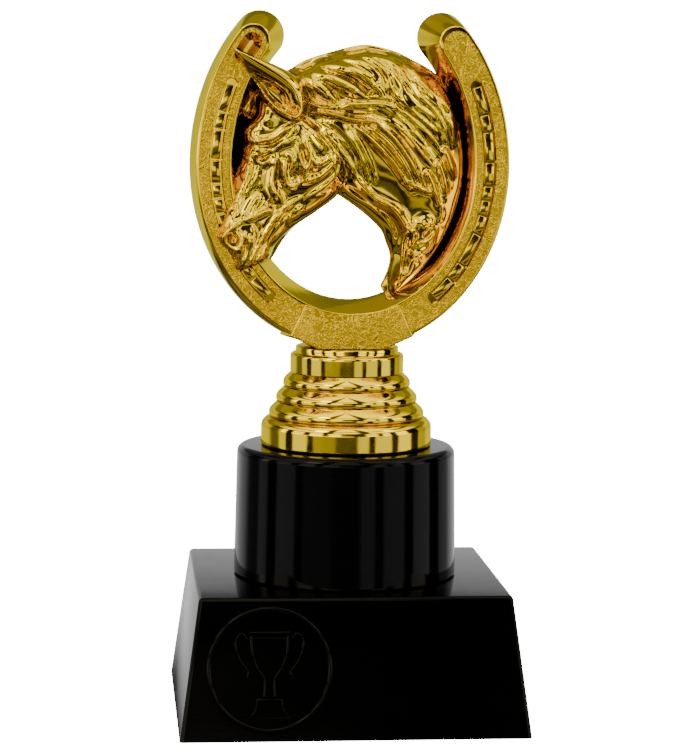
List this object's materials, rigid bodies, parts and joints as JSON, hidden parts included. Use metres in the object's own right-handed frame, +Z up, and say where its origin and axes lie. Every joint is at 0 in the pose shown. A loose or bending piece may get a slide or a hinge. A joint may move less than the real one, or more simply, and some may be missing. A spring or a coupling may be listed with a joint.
{
  "type": "horse trophy",
  "caption": "Award trophy: a gold horse's head and mane inside a horseshoe, on a stepped gold bell, a round black riser and a black plinth.",
  "frame": {"origin": "centre of the plinth's underside, on the surface it stands on", "axes": "+Z up the trophy; -Y out of the front, the face with the medallion; +X to the viewer's right, so the horse looks towards -X"},
  "size_m": [0.09, 0.0803, 0.1842],
  "materials": {
    "gold_plating": "mirror-bright gold-coloured metal film on moulded plastic",
    "black_plastic": "high-gloss black moulded plastic"
  },
  "bodies": {
    "root": {"horse_and_shoe": "gold_plating", "stepped_bell": "gold_plating", "round_riser": "black_plastic", "plinth": "black_plastic"}
  },
  "joints": []
}
